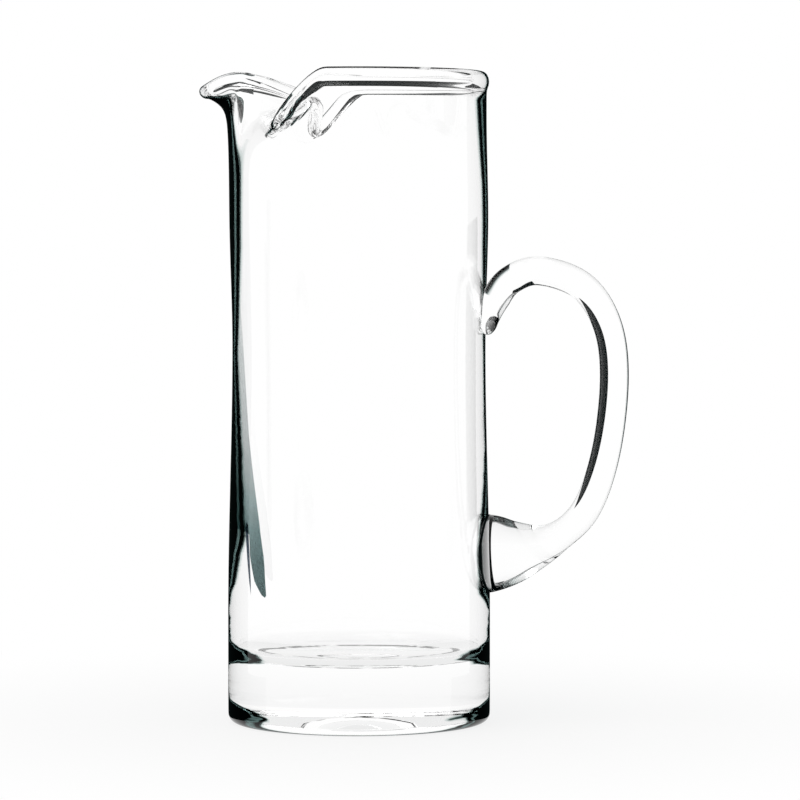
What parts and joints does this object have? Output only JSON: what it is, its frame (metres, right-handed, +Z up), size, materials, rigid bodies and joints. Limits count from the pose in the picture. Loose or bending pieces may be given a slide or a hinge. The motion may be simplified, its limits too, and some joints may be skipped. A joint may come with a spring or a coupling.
{
  "type": "cocktail pitcher",
  "caption": "Tall clear glass pitcher with a heavy base, a rolled rim pinched into an ice-holding spout, and a pulled loop handle for pouring mixed drinks.",
  "frame": {"origin": "centre of the base on the table", "axes": "+Z up along the vessel, the spout points to -X and the handle to +X"},
  "size_m": [0.1734, 0.105, 0.26],
  "materials": {
    "body_glass": "fire-polished clear glass with a faint cool tint",
    "handle_glass": "fire-polished clear glass, pulled by hand"
  },
  "bodies": {
    "root": {"body": "body_glass", "handle": "handle_glass"}
  },
  "joints": []
}
